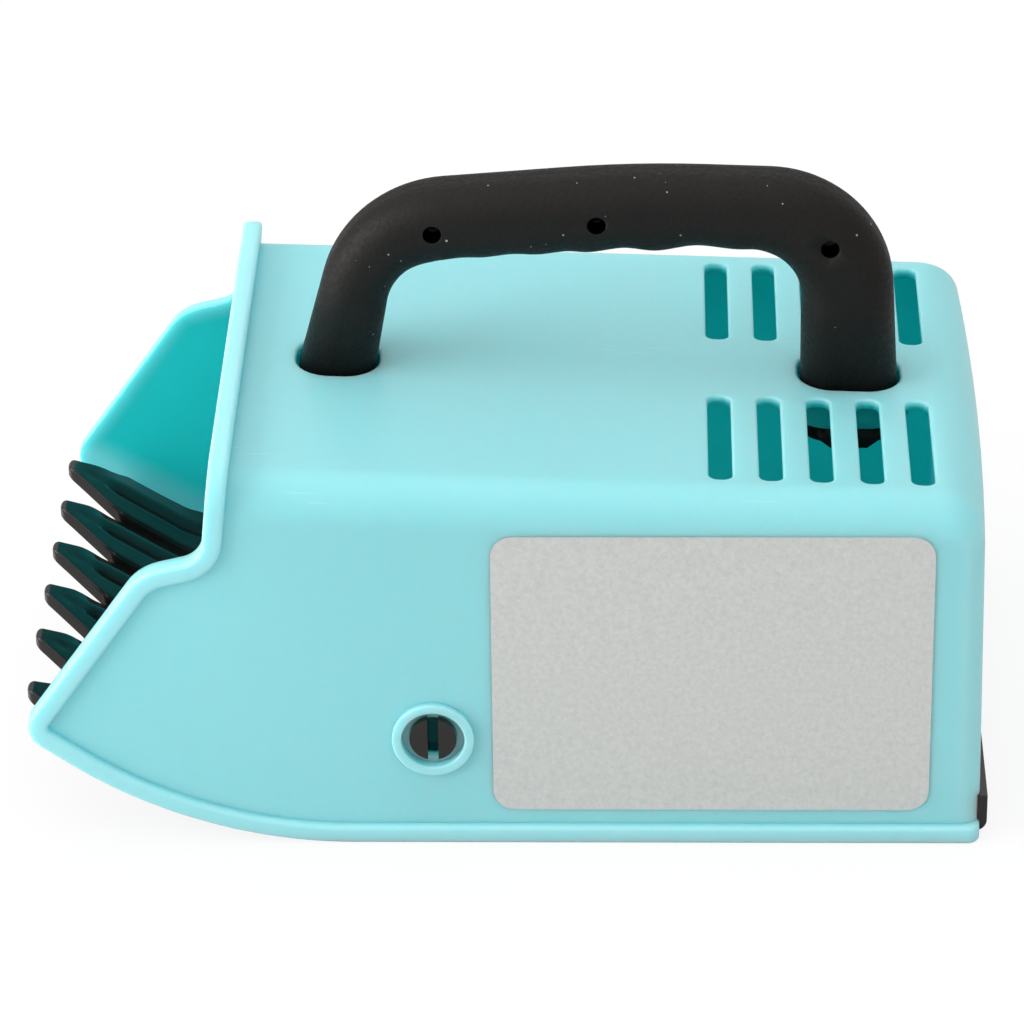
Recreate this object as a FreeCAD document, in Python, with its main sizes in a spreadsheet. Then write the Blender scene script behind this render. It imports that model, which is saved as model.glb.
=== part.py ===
"""A hand-held berry rake: a moulded shell, a comb and floor that swings down on two snap pins
to empty it, a bow handle in two screwed halves, and a sticker. Millimetres, +Z up, mouth at -X,
origin at the bottom centre."""
import FreeCAD, Part
import math
import os
import sys
import Sketcher
from FreeCAD import Placement, Rotation, Vector

# Driving dimensions, in millimetres and degrees
SIZES = {
    # shell
    "body_length": 155.0,        # cheek tips to rear wall
    "wall_base_width": 91.4,     # over the side walls, at the bottom
    "wall": 1.7,
    "side_draft": 0.8,
    "roof_height": 66.2,         # at the mouth
    "roof_slope": 1.9,
    "roof_round": 6.5,
    "rear_round": 8.0,
    "rear_bow": 1.2,             # how far the rear wall bulges in its middle
    "corner_round": 3.2,
    "mouth_lean": 6.1,
    "cheek_reach": 29.3,         # cheek tips to the throat below the mouth
    "shoulder_length": 10.15,    # rounded top of a cheek
    "shoulder_angle": 14.2,
    "shoulder_round": 9.0,
    "throat_round": 4.4,
    "cheek_edge_angle": 55.2,
    "tip_round": 4.2,
    "belly_reach": 38.5,         # cheek tips to where the belly starts to rise
    "belly_angle": 20.4,
    "belly_round": 78.0,
    "nose_reach": 15.0,          # cheek tips to where the belly steepens
    "nose_angle": 36.0,
    "nose_round": 77.0,
    # rim round the mouth and the lower edge
    "rim_width": 3.2,
    "rim_proud_side": 1.4,
    "rim_proud_roof": 3.6,
    "rim_corner_round": 7.0,
    "rim_rear_round": 2.0,
    "rim_edge_round": 0.7,
    # drain slots in the roof
    "slot_count": 5,
    "slot_pitch": 8.1,
    "slot_width": 3.85,
    "slot_length": 27.6,
    "slot_round": 1.6,
    "slot_inset": 9.9,           # middle of the roof to a slot's inner end
    "slot_rear_gap": 8.4,        # last slot to the rear wall
    "slot_edge_round": 0.4,
    # swinging floor and comb
    "pin_from_tip": 65.8,
    "pin_height": 19.5,
    "boss_diameter": 13.4,
    "boss_proud": 1.0,
    "boss_edge_round": 0.25,
    "well_diameter": 10.3,
    "well_depth": 1.9,
    "pin_diameter": 6.8,
    "pin_running_gap": 0.05,
    "pin_head_diameter": 7.7,
    "pin_head_length": 1.3,
    "pin_slot_width": 1.75,
    "pin_slot_depth": 5.5,
    "tray_gap": 0.3,             # least gap between moving and fixed pieces
    "tray_side_gap": 1.4,        # floor to the side walls
    "tray_thickness": 2.2,
    "tray_lift": 0.6,            # underside of the floor above the ground
    "tray_bend_from_tip": 42.9,  # cheek tips to where the floor starts to rise
    "tray_bend_angle": 21.3,
    "tray_bend_round": 48.0,
    "comb_from_tip": 18.2,       # cheek tips to where the comb starts to rise
    "comb_angle": 33.0,
    "comb_bend_round": 16.0,
    "tine_count": 6,
    "tine_reach": 1.1,           # tines beyond the cheek tips
    "tine_depth": 9.6,           # tine tips to the notch between two tines
    "tine_tip_width": 2.7,
    "tine_tip_round": 1.2,
    "notch_round": 0.6,
    "valley_depth": 0.7,         # of the valley between two tines, at the notch
    "valley_fade": 6.0,
    "valley_length": 6.0,        # behind the notch
    "bevel_angle": 14.0,
    "groove_radius": 2.6,
    "groove_depth": 1.1,
    "groove_start": 6.2,         # tine tips to the start of the groove on each tine
    "groove_length": 18.5,
    "lip_height": 7.4,
    "lip_proud": 1.3,
    "lip_thickness": 2.4,
    "lip_round": 2.0,
    "tongue_height": 3.6,
    "tongue_thickness": 1.2,
    "ear_thickness": 2.0,
    "ear_radius": 6.6,
    # handle
    "handle_start": 42.9,        # cheek tips to the front foot
    "handle_span": 99.0,
    "handle_rise": 34.0,         # roof at the mouth to the top of the handle
    "handle_width": 12.5,
    "front_leg_width": 12.8,
    "rear_leg_width": 16.0,
    "grip_depth": 12.6,          # top to underside
    "grip_round": 5.3,
    "handle_split": 1.9,         # the parting plane lies this far beyond the middle
    "front_bow_round": 22.4,
    "rear_bow_round": 21.2,
    "front_palm_round": 10.0,
    "rear_palm_round": 9.4,
    "arch_round": 200.0,
    "palm_arch_round": 60.0,
    "foot_depth": 1.2,           # how deep the legs' outer skin sinks into the roof
    "plug_step": 0.25,           # the plugs in the sockets are this much slimmer than the legs
    "leg_gap": 0.5,              # gap round a leg in its hole
    "leg_hole_round": 5.8,
    "leg_hole_edge_round": 0.5,
    "socket_depth": 6.7,         # roof's upper face to the socket's lower end
    "socket_wall": 1.6,
    "hook_width": 10.1,
    "hook_reach": 1.3,
    "hook_height": 3.6,
    "hook_gap": 0.15,
    # screws of the handle
    "screw_hole_diameter": 2.9,
    "screw_head_diameter": 2.6,
    "screw_head_height": 1.4,
    "screw_seat_depth": 5.2,     # near face of the handle to the underside of the head
    "screw_shank_diameter": 1.7,
    "screw_length": 5.2,
    "screw_slot_width": 0.5,
    "screw_slot_depth": 0.6,
    # sticker
    "label_length": 71.0,
    "label_height": 51.1,
    "label_round": 3.6,
    "label_thickness": 0.15,
    "label_from_tip": 75.5,
    "label_base": 5.9,
    # every cutter runs this far past the face that it cuts
    "overrun": 5.0,
}

# Corners of the handle's side outline as shares of its span (X) and rise (Z)
FRONT_BOW_SHARES = (0.0869, 0.8895)
ARCH_TOP_SHARES = (0.5626, 1.0)
REAR_BOW_SHARES = (0.9798, 0.9573)
# Corners of its underside, from the corner above as shares of a leg's width and the grip's depth
FRONT_PALM_SHARES = (0.6, 0.967)
ARCH_PALM_SHARES = (0.5, 1.0125)
REAR_PALM_SHARES = (-0.88, 1.0)
# Corners of a hook as shares of its half width (X) and height (Z), from the neck down
HOOK_SHARES = [(0.77, 1.0), (0.77, 0.62), (1.0, 0.8), (1.0, 0.45), (0.6, 0.0)]
SCREW_SHARES = {"front": (0.2294, 0.733), "middle": (0.4992, 0.781), "rear": (0.8821, 0.654)}

doc = FreeCAD.newDocument("berry_rake")
sheet = doc.addObject("Spreadsheet::Sheet", "sizes")
for row, (alias, value) in enumerate(SIZES.items(), start=1):
    sheet.set(f"A{row}", alias)
    sheet.set(f"B{row}", str(value))
    sheet.setAlias(f"B{row}", alias)
doc.recompute()


def size(alias):
    """A driving dimension as the sheet holds it."""
    return float(getattr(sheet, alias))


def bind(thing, **formulas):
    """Ties properties of an object to formulas over the sheet's aliases."""
    for name, formula in formulas.items():
        thing.setExpression(name.replace("__", "."), formula)
    return thing


def add(kind, name):
    return doc.addObject(kind, name)


# Formulas that several pieces share
TIP_X = "(-(sizes.body_length + sizes.tine_reach + sizes.lip_proud) / 2 + sizes.tine_reach)"
REAR_X = f"({TIP_X} + sizes.body_length)"
BULGE_X = f"({REAR_X} + sizes.rear_bow)"
FRONT_X = f"({TIP_X} - sizes.tine_reach)"
THROAT_X = f"({TIP_X} + sizes.cheek_reach)"
BEND_X = f"({TIP_X} + sizes.belly_reach)"
TRAY_BEND_X = f"({TIP_X} + sizes.tray_bend_from_tip)"
SHOULDER_X = f"({THROAT_X} - sizes.shoulder_length)"
NOSE_X = f"({TIP_X} + sizes.nose_reach)"
NOSE_Z = f"(({BEND_X} - {NOSE_X}) * tan(sizes.belly_angle))"
TIP_CORNER_X = (
    f"({TIP_X} + sizes.tip_round - sizes.tip_round"
    " * cos((sizes.cheek_edge_angle - sizes.nose_angle) / 2)"
    " / sin((sizes.cheek_edge_angle + sizes.nose_angle) / 2))"
)
TIP_CORNER_Z = f"({NOSE_Z} + ({NOSE_X} - {TIP_CORNER_X}) * tan(sizes.nose_angle))"
SHOULDER_Z = f"({TIP_CORNER_Z} + ({SHOULDER_X} - {TIP_CORNER_X}) * tan(sizes.cheek_edge_angle))"
THROAT_Z = f"({SHOULDER_Z} + sizes.shoulder_length * tan(sizes.shoulder_angle))"
PIN_X = f"({TIP_X} + sizes.pin_from_tip)"
PIN_WALL_Y = "(sizes.wall_base_width / 2 - sizes.pin_height * tan(sizes.side_draft))"
INNER_HALF = "(sizes.wall_base_width / 2 - sizes.wall)"
TRAY_HALF = f"({INNER_HALF} - sizes.tray_side_gap)"


def mouth_x(height):
    return f"({THROAT_X} + ({height} - {THROAT_Z}) * tan(sizes.mouth_lean))"


MOUTH_X = mouth_x("sizes.roof_height")


def roof_z(place_x, below="0"):
    return f"(sizes.roof_height - ({place_x} - {MOUTH_X}) * tan(sizes.roof_slope) - ({below}))"


def number(formula):
    """The value of a formula over the sheet."""
    value = sheet.evalExpression(formula)
    return float(getattr(value, "Value", value))


def corner_arc(before, corner, after, radius):
    """The arc that rounds a corner: its middle, its two ends, and whether it turns left."""
    into = (corner - before).normalize()
    out = (after - corner).normalize()
    turn = math.atan2(into.x * out.y - into.y * out.x, into.dot(out))
    reach = radius * math.tan(abs(turn) / 2)
    start = corner - into * reach
    end = corner + out * reach
    side = 1 if turn > 0 else -1
    middle = start + Vector(-into.y, into.x, 0) * radius * side
    return middle, start, end, turn > 0


def outline(name, corners, plane="XZ", closed=True):
    """A sketch of straight lines with rounded corners. Each corner is (x, y, radius or None),
    all of them formulas that the sketch's own constraints are tied to."""
    sketch = add("Sketcher::SketchObject", name)
    if plane == "XZ":
        sketch.Placement = Placement(Vector(0, 0, 0), Rotation(Vector(1, 0, 0), 90))
    elif plane == "YZ":
        sketch.Placement = Placement(Vector(0, 0, 0), Rotation(Vector(1, 1, 1), 120))
    places = [Vector(number(c[0]), number(c[1]), 0) for c in corners]
    count = len(places)
    arcs = {}
    for i, (_, _, radius) in enumerate(corners):
        if radius:
            arcs[i] = corner_arc(places[i - 1], places[i], places[(i + 1) % count], number(radius))
    for i in range(count):
        j = (i + 1) % count
        start = arcs[i][2] if i in arcs else places[i]
        end = arcs[j][1] if j in arcs else places[j]
        sketch.addGeometry(Part.LineSegment(start, end), False)
    rounded = {}
    for i, (middle, start, end, left) in arcs.items():
        first, last = (start, end) if left else (end, start)
        circle = Part.Circle(middle, Vector(0, 0, 1), (start - middle).Length)
        angles = [math.atan2(p.y - middle.y, p.x - middle.x) for p in (first, last)]
        if angles[1] < angles[0]:
            angles[1] += 2 * math.pi
        arc = sketch.addGeometry(Part.ArcOfCircle(circle, *angles), False)
        point = sketch.addGeometry(Part.Point(places[i]), True)
        rounded[i] = (arc, point, left)
    for i, (x, y, radius) in enumerate(corners):
        before = (i - 1) % count
        if i in rounded:
            arc, point, left = rounded[i]
            entry, leave = (1, 2) if left else (2, 1)
            sketch.addConstraint(Sketcher.Constraint("Tangent", before, 2, arc, entry))
            sketch.addConstraint(Sketcher.Constraint("Tangent", arc, leave, i, 1))
            sketch.addConstraint(Sketcher.Constraint("PointOnObject", point, 1, before))
            sketch.addConstraint(Sketcher.Constraint("PointOnObject", point, 1, i))
            tie(sketch, Sketcher.Constraint("Radius", arc, number(radius)), radius)
            held = (point, 1)
        else:
            sketch.addConstraint(Sketcher.Constraint("Coincident", before, 2, i, 1))
            held = (i, 1)
        for kind, formula in (("DistanceX", x), ("DistanceY", y)):
            value = number(formula)
            tie(sketch, Sketcher.Constraint(kind, -1, 1, *held, value), formula)
    return sketch


def tie(sketch, constraint, formula):
    index = sketch.addConstraint(constraint)
    sketch.setExpression(f"Constraints[{index}]", formula)


def prism(name, sketch, length, symmetric=True):
    """A sketch pushed out square to itself."""
    solid = add("Part::Extrusion", name)
    solid.Base = sketch
    solid.DirMode = "Normal"
    solid.Solid = True
    solid.Symmetric = symmetric
    return bind(solid, LengthFwd=length)


def leaning(rear, height):
    """A place on the rear wall, which leans in as the sides do. rear is taken at Z = 0."""
    return f"({rear} - {height} * tan(sizes.side_draft))"


def drafted_block(name, front, rear, bottom, top, half_width):
    """A block whose sides and rear lean in by the side draft. half_width and rear are taken at
    Z = 0."""
    block = add("Part::Wedge", name)
    block.Placement = Placement(Vector(0, 0, 0), Rotation(Vector(1, 0, 0), 90))
    low = f"({half_width} - {bottom} * tan(sizes.side_draft))"
    high = f"({half_width} - {top} * tan(sizes.side_draft))"
    return bind(
        block, Xmin=front, X2min=front, Xmax=leaning(rear, bottom), X2max=leaning(rear, top),
        Ymin=bottom, Ymax=top,
        Zmin=f"-{low}", Zmax=low, Z2min=f"-{high}", Z2max=high,
    )


def bulged(name, block, inset="0"):
    """A block whose rear is cut to the bulge of the rear wall, or to an inset inside it."""
    radius = "(((sizes.wall_base_width / 2) ^ 2 + sizes.rear_bow ^ 2) / (2 * sizes.rear_bow))"
    depth = f"({radius} * tan(sizes.side_draft) + 2 * sizes.overrun)"
    drum = add("Part::Cylinder", f"{name}_drum")
    drum.Placement = Placement(
        Vector(0, 0, 0), Rotation(Vector(0, 1, 0), -size("side_draft")))
    bind(drum, Radius=f"{radius} - ({inset})", Height=f"sizes.roof_height + 3 * {depth}",
         Placement__Base__x=f"{BULGE_X} - {radius} / cos(sizes.side_draft)"
                            f" + {depth} * tan(sizes.side_draft)",
         Placement__Base__z=f"-{depth}")
    return overlap(name, block, drum)


def box(name, low, high):
    """A box between two corners, each three formulas."""
    block = add("Part::Box", name)
    bind(block, Placement__Base__x=low[0], Placement__Base__y=low[1], Placement__Base__z=low[2])
    return bind(
        block, Length=f"({high[0]}) - ({low[0]})", Width=f"({high[1]}) - ({low[1]})",
        Height=f"({high[2]}) - ({low[2]})",
    )


def rod(name, radius, start, end, x, z):
    """A cylinder along Y between two places."""
    tube = add("Part::Cylinder", name)
    tube.Placement = Placement(Vector(0, 0, 0), Rotation(Vector(1, 0, 0), -90))
    bind(tube, Radius=radius, Height=f"({end}) - ({start})")
    return bind(tube, Placement__Base__x=x, Placement__Base__y=start, Placement__Base__z=z)


def join(name, *pieces):
    fused = add("Part::MultiFuse", name)
    fused.Shapes = list(pieces)
    fused.Refine = True
    return fused


def cut(name, base, *tools):
    """The base without the tools."""
    tool = tools[0] if len(tools) == 1 else join(f"{name}_tools", *tools)
    result = add("Part::Cut", name)
    result.Base, result.Tool = base, tool
    result.Refine = True
    return result


def overlap(name, first, second):
    result = add("Part::Common", name)
    result.Base, result.Tool = first, second
    result.Refine = True
    return result


def fillet(name, base, *choices):
    """Rounds edges. Each choice is (radius in mm, test of an edge)."""
    doc.recompute()
    chosen = []
    for index, edge in enumerate(base.Shape.Edges, start=1):
        for radius, test in choices:
            if test(edge):
                chosen.append((index, radius, radius))
                break
    if not chosen:
        raise ValueError(f"{name}: no edge to round")
    rounded = add("Part::Fillet", name)
    rounded.Base = base
    rounded.Edges = chosen
    return rounded


def faces_beside(shape, edge):
    return [face for face in shape.Faces if any(edge.isSame(other) for other in face.Edges)]


def is_outer_skin(face):
    """Whether a face of the rim lies on its drafted outer sides, its top or their rounds, and so
    isn't one of the faces across the rim."""
    surface = face.Surface
    if isinstance(surface, Part.Cylinder):
        return abs(surface.Axis.y) < 0.5 and surface.Radius < size("wall_base_width")
    if not isinstance(surface, Part.Plane):
        return True
    return abs(surface.Axis.y) > 0.5 or face.BoundBox.ZMin > size("roof_height")


def runs_along(edge, axis, slack=0.2):
    """Whether an edge runs mainly along one axis."""
    span = edge.BoundBox
    lengths = (span.XLength, span.YLength, span.ZLength)
    return lengths[axis] > 0 and all(
        length <= slack * lengths[axis] for i, length in enumerate(lengths) if i != axis
    )


def middle(edge):
    return edge.BoundBox.Center


def upright_rounded(name, block, radius):
    """A box with its four upright edges rounded."""
    return fillet(name, block, (radius, lambda edge: runs_along(edge, 2)))


def shell_profile(name, top_z, rear_x, roof_line):
    """The shell's side view: cheek tip, nose, belly, rear, roof, mouth edge, throat, shoulder."""
    return outline(name, [
        (TIP_CORNER_X, TIP_CORNER_Z, "sizes.tip_round"),
        (NOSE_X, NOSE_Z, "sizes.nose_round"),
        (BEND_X, "0", "sizes.belly_round"),
        (rear_x, "0", None),
        (rear_x, roof_line(rear_x), None),
        (mouth_x(top_z), top_z, None),
        (THROAT_X, THROAT_Z, "sizes.throat_round"),
        (SHOULDER_X, SHOULDER_Z, "sizes.shoulder_round"),
    ])


def make_shell_block():
    """The outer form without its rim: drafted sides, sloping roof, rounded edges."""
    half = "(sizes.wall_base_width / 2)"
    block = drafted_block("shell_block", FRONT_X, BULGE_X, "0", "sizes.roof_height", half)
    beyond = f"({REAR_X} + sizes.overrun)"
    profile = shell_profile("shell_profile", "sizes.roof_height", beyond, roof_z)
    side = prism("shell_side", profile, "sizes.wall_base_width")
    raw = overlap("shell_raw", bulged("shell_bulged", block), side)
    rear = number(leaning(REAR_X, "sizes.roof_height"))
    roof = number(roof_z(REAR_X))
    low = number(THROAT_Z)

    def along_roof(edge):
        return runs_along(edge, 0) and edge.BoundBox.ZMin > low and edge.BoundBox.XMax > rear - 1

    def across_rear(edge):
        return runs_along(edge, 1) and middle(edge).x > rear - 1 and middle(edge).z > low

    def up_rear(edge):
        return runs_along(edge, 2) and middle(edge).x > rear - 1 and edge.BoundBox.ZMax > roof - 2

    return fillet(
        "shell_outer", raw, (size("roof_round"), along_roof), (size("rear_round"), across_rear),
        (size("corner_round"), up_rear),
    )


def make_rim():
    """The raised band round the mouth, the cheeks and the lower edge."""
    top = "(sizes.roof_height + sizes.rim_proud_roof)"
    half = "(sizes.wall_base_width / 2 + sizes.rim_proud_side)"
    block = bulged("rim_bulged", drafted_block("rim_block", FRONT_X, BULGE_X, "0", top, half))
    high = number(top)
    rear = number(leaning(REAR_X, top))

    def along_top(edge):
        return runs_along(edge, 0) and edge.BoundBox.ZMin > high - 1

    def up_rear(edge):
        return runs_along(edge, 2) and middle(edge).x > rear - 1

    rounded = fillet("rim_rounded", block, (size("rim_corner_round"), along_top),
                     (size("rim_rear_round"), up_rear))
    beyond = f"({REAR_X} + sizes.rim_width + sizes.overrun)"
    above = f"({top} + sizes.rim_width + sizes.overrun)"
    profile = shell_profile("rim_profile", above, beyond, lambda x: above)
    band = add("Part::Offset2D", "rim_band")
    band.Source = profile
    band.Fill = True
    bind(band, Value="-sizes.rim_width")
    sweep = prism("rim_sweep", band, f"2 * {half}")
    square = overlap("rim_square", rounded, sweep)
    doc.recompute()

    def on_rim_edge(edge):
        sides = [is_outer_skin(face) for face in faces_beside(square.Shape, edge)]
        return sorted(sides) == [False, True]

    return fillet("rim", square, (size("rim_edge_round"), on_rim_edge))


def make_cavity():
    """The space inside the shell, open at the mouth and at the bottom."""
    rear = f"({REAR_X} - sizes.wall)"
    beyond = f"({REAR_X} + sizes.overrun)"
    front = f"({FRONT_X} - sizes.overrun)"
    block = drafted_block("cavity_block", front, BULGE_X, "-sizes.overrun", "sizes.roof_height",
                          INNER_HALF)
    profile = outline("cavity_profile", [
        (front, "-sizes.overrun", None),
        (beyond, "-sizes.overrun", None),
        (beyond, roof_z(beyond, "sizes.wall"), None),
        (front, roof_z(front, "sizes.wall"), None),
    ])
    side = prism("cavity_side", profile, "sizes.wall_base_width")
    raw = overlap("cavity_raw", bulged("cavity_bulged", block, "sizes.wall"), side)
    back = number(leaning(rear, "sizes.roof_height"))
    low = number(THROAT_Z)

    def along_roof(edge):
        return runs_along(edge, 0) and edge.BoundBox.ZMin > low

    def across_rear(edge):
        return runs_along(edge, 1) and middle(edge).x > back - 1 and middle(edge).z > low

    def up_rear(edge):
        return runs_along(edge, 2) and middle(edge).x > back - 1

    return fillet("cavity", raw, (size("roof_round") - size("wall"), along_roof),
                  (size("rear_round") - size("wall"), across_rear),
                  (size("corner_round") - size("wall"), up_rear))


def make_slots():
    """Two rows of drain slots across the rear of the roof."""
    slots = []
    for side in ("near", "far"):
        for i in range(int(size("slot_count"))):
            x_high = f"({REAR_X} - sizes.slot_rear_gap - {i} * sizes.slot_pitch)"
            x_low = f"({x_high} - sizes.slot_width)"
            inner = "sizes.slot_inset"
            outer = "(sizes.slot_inset + sizes.slot_length)"
            y_low, y_high = (f"-{outer}", f"-{inner}") if side == "near" else (inner, outer)
            z_low = roof_z(REAR_X, "sizes.wall + sizes.overrun")
            z_high = f"(sizes.roof_height + sizes.overrun)"
            block = box(f"slot_block_{side}_{i}", (x_low, y_low, z_low), (x_high, y_high, z_high))
            slots.append(upright_rounded(f"slot_{side}_{i}", block, size("slot_round")))
    return slots


def handle_x(share):
    return f"({TIP_X} + sizes.handle_start + {share} * sizes.handle_span)"


def handle_z(share):
    return f"(sizes.roof_height + {share} * sizes.handle_rise)"


LEGS = {
    "front": (handle_x(0), f"({handle_x(0)} + sizes.front_leg_width)"),
    "rear": (f"({handle_x(1)} - sizes.rear_leg_width)", handle_x(1)),
}


def leg_block(name, leg, margin, z_low, z_high, radius):
    """A rounded upright block round a leg's place on the roof, larger by a margin."""
    x_low, x_high = LEGS[leg]
    half = f"(sizes.handle_width / 2 + ({margin}))"
    block = box(f"{name}_block", (f"{x_low} - ({margin})", f"-{half}", z_low),
                (f"{x_high} + ({margin})", half, z_high))
    return upright_rounded(name, block, radius)


def make_sockets():
    """Sleeves under the roof that take the handle's legs, and the holes through them."""
    sleeves, holes = [], []
    for leg, (x_low, x_high) in LEGS.items():
        low = roof_z(x_low, "sizes.socket_depth")
        top = roof_z(x_high, "sizes.wall / 2")
        margin = "(sizes.leg_gap + sizes.socket_wall)"
        sleeves.append(leg_block(f"socket_{leg}", leg, margin, low, top,
                                 size("leg_hole_round") + size("socket_wall")))
        holes.append(leg_block(f"leg_hole_{leg}", leg, "sizes.leg_gap", f"{low} - sizes.overrun",
                               "(sizes.roof_height + sizes.overrun)", size("leg_hole_round")))
    return sleeves, holes


SIDES = {"near": -1, "far": 1}


def outward(side, start, end):
    """Two distances from the middle plane as an ordered pair of Y formulas for one side."""
    return (start, end) if SIDES[side] > 0 else (f"-({end})", f"-({start})")


def make_bosses():
    """A raised ring with a well on each side wall, and the hole for the pin in its floor."""
    rings, wells = [], []
    face = f"({PIN_WALL_Y} + sizes.boss_proud)"
    floor = f"({face} - sizes.well_depth)"
    inside = f"({PIN_WALL_Y} - sizes.wall - sizes.overrun)"
    for side in SIDES:
        rings.append(rod(f"boss_{side}", "sizes.boss_diameter / 2",
                         *outward(side, f"({PIN_WALL_Y} - sizes.wall / 2)", face),
                         PIN_X, "sizes.pin_height"))
        wells.append(rod(f"well_{side}", "sizes.well_diameter / 2",
                         *outward(side, floor, f"({face} + sizes.overrun)"),
                         PIN_X, "sizes.pin_height"))
        wells.append(rod(f"pin_hole_{side}", "sizes.pin_diameter / 2 + sizes.pin_running_gap",
                         *outward(side, inside, face), PIN_X, "sizes.pin_height"))
    return rings, wells


def make_body_shell():
    outer = make_shell_block()
    rim = make_rim()
    cavity = make_cavity()
    hollow = cut("shell_hollow", join("shell_solid", outer, rim), cavity)
    sleeves, holes = make_sockets()
    rings, wells = make_bosses()
    whole = join("shell_joined", hollow, *sleeves, *rings)
    rear_window = box(
        "rear_window",
        (f"({REAR_X} - sizes.wall - sizes.overrun)", f"-{INNER_HALF}", "-sizes.overrun"),
        (f"({REAR_X} + sizes.overrun)", INNER_HALF, "(sizes.lip_height + sizes.tray_gap)"),
    )
    pierced = cut("shell_pierced", whole, *make_slots(), *holes, *wells, rear_window)
    doc.recompute()
    roof = max(
        (face for face in pierced.Shape.Faces
         if isinstance(face.Surface, Part.Plane) and face.normalAt(0, 0).z > 0.9),
        key=lambda face: face.Area,
    )
    leg_half = size("handle_width") / 2 + size("leg_gap")
    ring_face = number(f"{PIN_WALL_Y} + sizes.boss_proud")

    def on_roof_hole(edge):
        around = any(edge.isSame(other) for other in roof.Edges)
        return around and not any(edge.isSame(other) for other in roof.OuterWire.Edges)

    def on_leg_hole(edge):
        return on_roof_hole(edge) and abs(middle(edge).y) < leg_half + size("overrun") / 100

    def on_ring(edge):
        flat = edge.BoundBox.YLength < size("wall") / 100
        return flat and abs(abs(middle(edge).y) - ring_face) < size("wall") / 100

    return fillet("body_shell", pierced, (size("leg_hole_edge_round"), on_leg_hole),
                  (size("slot_edge_round"), on_roof_hole), (size("boss_edge_round"), on_ring))


def tray_corners():
    """Corners of the tray's side view. The floor rises inside the belly, the comb rises from it,
    and the rear turns up into the lip and its tongue."""
    gamma, beta = "sizes.comb_angle", "sizes.tray_bend_angle"
    thick = "sizes.tray_thickness"
    low = "sizes.tray_lift"
    comb_x = f"({TIP_X} + sizes.comb_from_tip)"
    comb_z = f"({low} + ({TRAY_BEND_X} - {comb_x}) * tan({beta}))"
    share = f"({thick} / (1 + cos({gamma} - {beta})))"
    comb_top_x = f"({comb_x} + {share} * (sin({beta}) + sin({gamma})))"
    comb_top_z = f"({comb_z} + {share} * (cos({beta}) + cos({gamma})))"
    end_x = f"({FRONT_X} + sizes.tine_tip_round / 2)"
    end_low_z = f"({comb_z} + ({comb_x} - {end_x}) * tan({gamma}))"
    end_high_z = f"({comb_top_z} + ({comb_top_x} - {FRONT_X}) * tan({gamma}))"
    lip_x = f"({REAR_X} + sizes.lip_proud)"
    lip_in_x = f"({lip_x} - sizes.lip_thickness)"
    tongue_z = "(sizes.lip_height + sizes.tongue_height)"
    tongue_x = f"({leaning(REAR_X, tongue_z)} - sizes.wall - sizes.tray_gap)"
    tongue_in_x = f"({tongue_x} - sizes.tongue_thickness)"
    floor_z = f"({low} + {thick})"
    inner_bend = f"(sizes.tray_bend_round - {thick})"
    inner_comb = f"(sizes.comb_bend_round - {thick})"
    return [
        (end_x, end_low_z, None),
        (comb_x, comb_z, "sizes.comb_bend_round"),
        (TRAY_BEND_X, low, "sizes.tray_bend_round"),
        (lip_x, low, "sizes.lip_round"),
        (lip_x, "sizes.lip_height", None),
        (tongue_x, "sizes.lip_height", None),
        (tongue_x, tongue_z, None),
        (tongue_in_x, tongue_z, None),
        (tongue_in_x, floor_z, None),
        (f"({TRAY_BEND_X} + {thick} * tan({beta} / 2))", floor_z, inner_bend),
        (comb_top_x, comb_top_z, inner_comb),
        (FRONT_X, end_high_z, None),
    ]


def notch_cutters():
    """Plan view of the gaps between the tines, as upright prisms. The first and last ones
    narrow the outer tines."""
    pitch = f"(2 * {TRAY_HALF} / sizes.tine_count)"
    half = f"({pitch} / 2 - sizes.tine_tip_width / 2)"
    root = f"({FRONT_X} + sizes.tine_depth)"
    front = f"({FRONT_X} - sizes.overrun)"
    spread = f"({half} * (1 + sizes.overrun / sizes.tine_depth))"
    cutters = []
    for i in range(int(size("tine_count")) + 1):
        y = f"(-{TRAY_HALF} + {i} * {pitch})"
        plan = outline(f"notch_plan_{i}", [
            (root, y, "sizes.notch_round"),
            (front, f"({y} + {spread})", None),
            (front, f"({y} - {spread})", None),
        ], plane="XY")
        cutters.append(prism(f"notch_{i}", plan, "2 * sizes.roof_height"))
    return cutters


def valley_cutters():
    """Shallow valleys that run from behind each notch to the tips and bevel the tines."""
    lean = math.radians(size("comb_angle") - size("valley_fade"))
    forward = Vector(-math.cos(lean), 0, math.sin(lean))
    upward = Vector(math.sin(lean), 0, math.cos(lean))
    pitch = f"(2 * {TRAY_HALF} / sizes.tine_count)"
    comb_x = f"({TIP_X} + sizes.comb_from_tip)"
    comb_z = f"(sizes.tray_lift + ({TRAY_BEND_X} - {comb_x}) * tan(sizes.tray_bend_angle))"
    root = f"({FRONT_X} + sizes.tine_depth)"
    top = f"(sizes.tray_thickness / cos(sizes.comb_angle) - sizes.valley_depth)"
    root_z = f"({comb_z} + ({comb_x} - {root}) * tan(sizes.comb_angle) + {top})"
    behind = size("valley_length")
    start = Vector(number(root), 0, number(root_z)) - forward * behind
    cutters = []
    for i in range(int(size("tine_count")) + 1):
        y = number(f"-{TRAY_HALF} + {i} * {pitch}")
        section = outline(f"valley_section_{i}", [
            ("0", "0", None),
            (pitch, f"{pitch} * tan(sizes.bevel_angle)", None),
            (f"-{pitch}", f"{pitch} * tan(sizes.bevel_angle)", None),
        ], plane="XY")
        section.Placement = Placement(
            start + Vector(0, y, 0), Rotation(Vector(0, 1, 0), upward, forward, "ZXY"))
        cutters.append(prism(f"valley_{i}", section,
                             "sizes.valley_length + 2 * sizes.tine_depth", symmetric=False))
    return cutters


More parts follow.
